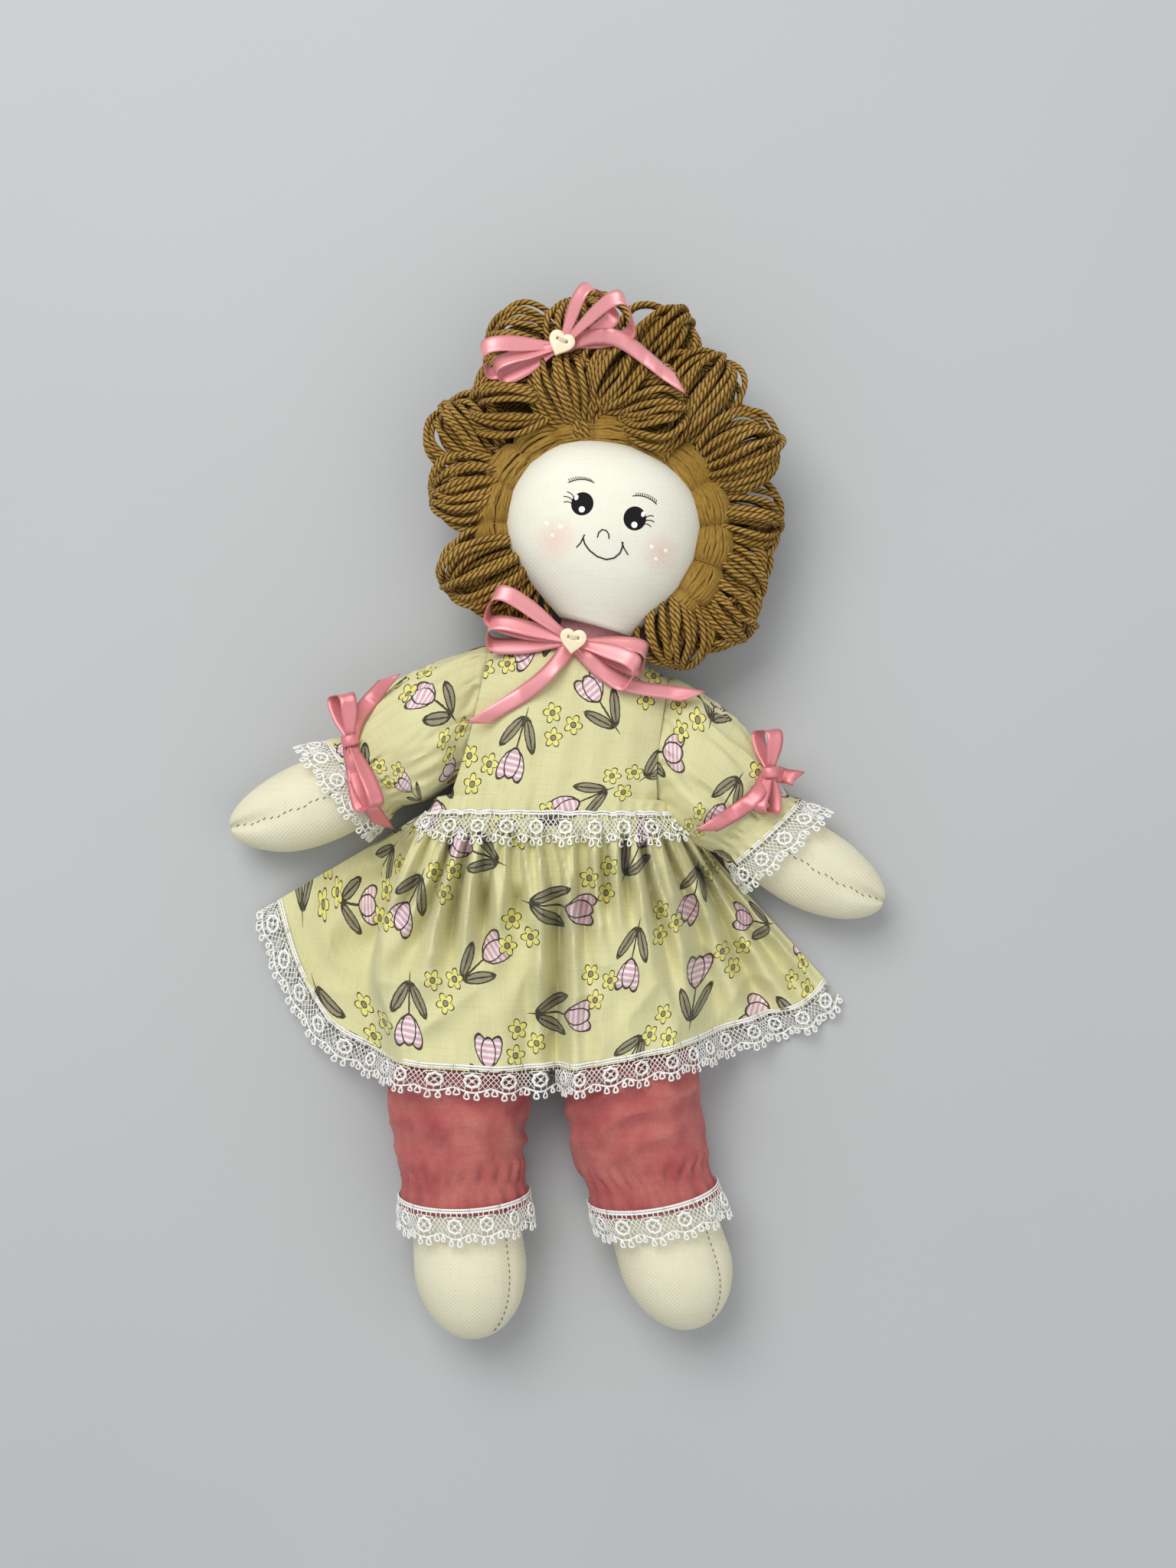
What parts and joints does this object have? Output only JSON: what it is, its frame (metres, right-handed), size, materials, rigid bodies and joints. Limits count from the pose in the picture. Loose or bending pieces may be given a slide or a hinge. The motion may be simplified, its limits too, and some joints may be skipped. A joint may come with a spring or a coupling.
{
  "type": "rag doll",
  "caption": "Stuffed cotton rag doll lying on its back, with looped yarn hair, a lace-trimmed dress, bloomers and ribbon bows; limbs and head move on soft sewn joints",
  "frame": {"origin": "the middle of the doll's back, on the surface that it lies on", "axes": "+Y towards the head, +Z out of the doll's front, +X towards its left hand"},
  "size_m": [0.2813, 0.4521, 0.07],
  "materials": {
    "skin_cotton": "matte",
    "dress_cotton": "matte",
    "collar_felt": "matte",
    "lace": "matte",
    "bloomers_cotton": "matte",
    "elastic": "matte",
    "satin_pink": "satin",
    "satin_coral": "satin",
    "button": "satin",
    "yarn": "matte"
  },
  "bodies": {
    "torso": {"torso": "skin_cotton", "bodice_front": "dress_cotton", "bodice_back_left": "dress_cotton", "bodice_back_right": "dress_cotton", "collar_band": "collar_felt", "bloomers_seat": "bloomers_cotton", "skirt_front": "dress_cotton", "skirt_back": "dress_cotton", "waist_lace": "lace", "hem_lace_front": "lace", "hem_lace_back": "lace", "neck_bow": "satin_pink", "neck_button": "button"},
    "neck": {"neck": "skin_cotton"},
    "head": {"head": "skin_cotton", "hair_roll": "yarn", "hair_cap": "yarn", "hair_bunch_01": "yarn", "hair_bunch_02": "yarn", "hair_bunch_03": "yarn", "hair_bunch_04": "yarn", "hair_bunch_05": "yarn", "hair_bunch_06": "yarn", "hair_bunch_07": "yarn", "hair_bunch_08": "yarn", "hair_bunch_09": "yarn", "hair_bunch_10": "yarn", "hair_bunch_11": "yarn", "hair_bunch_12": "yarn", "hair_bunch_13": "yarn", "hair_bunch_14": "yarn", "hair_bunch_15": "yarn", "head_bow": "satin_pink", "head_button": "button"},
    "arm_top_left": {"arm_top_left": "skin_cotton"},
    "arm_left": {"arm_left": "skin_cotton", "sleeve_left": "dress_cotton", "sleeve_elastic_left": "elastic", "sleeve_lace_left": "lace", "sleeve_bow_left": "satin_coral"},
    "arm_top_right": {"arm_top_right": "skin_cotton"},
    "arm_right": {"arm_right": "skin_cotton", "sleeve_right": "dress_cotton", "sleeve_elastic_right": "elastic", "sleeve_lace_right": "lace", "sleeve_bow_right": "satin_coral"},
    "leg_top_left": {"leg_top_left": "skin_cotton"},
    "leg_left": {"leg_left": "skin_cotton", "bloomers_leg_left": "bloomers_cotton", "bloomers_elastic_left": "elastic", "bloomers_lace_left": "lace"},
    "leg_top_right": {"leg_top_right": "skin_cotton"},
    "leg_right": {"leg_right": "skin_cotton", "bloomers_leg_right": "bloomers_cotton", "bloomers_elastic_right": "elastic", "bloomers_lace_right": "lace"}
  },
  "joints": [
    {"name": "neck_tilt", "type": "hinge", "parent": "torso", "child": "neck", "pos_m": [0.01302, 0.05254, 0.028], "axis": [0, 0, 1], "range_deg": [-8, 17], "deforming": ["neck_bow"]},
    {"name": "head_nod", "type": "hinge", "parent": "neck", "child": "head", "pos_m": [0.01302, 0.05254, 0.028], "axis": [0.9613, -0.2756, 0], "range_deg": [0, 14], "deforming": ["neck_bow"]},
    {"name": "shoulder_swing_left", "type": "hinge", "parent": "torso", "child": "arm_top_left", "pos_m": [0.05098, 0.00117, 0.024], "axis": [0, 0, 1], "range_deg": [-5, 60], "deforming": ["sleeve_left"]},
    {"name": "shoulder_lift_left", "type": "hinge", "parent": "arm_top_left", "child": "arm_left", "pos_m": [0.05098, 0.00117, 0.024], "axis": [-0.7314, -0.682, 0], "range_deg": [0, 75], "deforming": ["sleeve_left"]},
    {"name": "shoulder_swing_right", "type": "hinge", "parent": "torso", "child": "arm_top_right", "pos_m": [-0.0475, 0.01853, 0.024], "axis": [0, 0, -1], "range_deg": [-5, 60], "deforming": ["sleeve_right"]},
    {"name": "shoulder_lift_right", "type": "hinge", "parent": "arm_top_right", "child": "arm_right", "pos_m": [-0.0475, 0.01853, 0.024], "axis": [-0.6157, 0.788, 0], "range_deg": [0, 75], "deforming": ["sleeve_right"]},
    {"name": "hip_flex_left", "type": "hinge", "parent": "torso", "child": "leg_top_left", "pos_m": [0.01826, -0.08648, 0.024], "axis": [-0.9848, 0.1736, 0], "range_deg": [0, 90], "deforming": ["skirt_front", "hem_lace_front"]},
    {"name": "hip_splay_left", "type": "hinge", "parent": "leg_top_left", "child": "leg_left", "pos_m": [0.01826, -0.08648, 0.024], "axis": [0, 0, 1], "range_deg": [-2, 25]},
    {"name": "hip_flex_right", "type": "hinge", "parent": "torso", "child": "leg_top_right", "pos_m": [-0.04674, -0.07502, 0.024], "axis": [-0.9848, 0.1736, 0], "range_deg": [0, 90], "deforming": ["skirt_front", "hem_lace_front"]},
    {"name": "hip_splay_right", "type": "hinge", "parent": "leg_top_right", "child": "leg_right", "pos_m": [-0.04674, -0.07502, 0.024], "axis": [0, 0, -1], "range_deg": [-2, 25]}
  ]
}
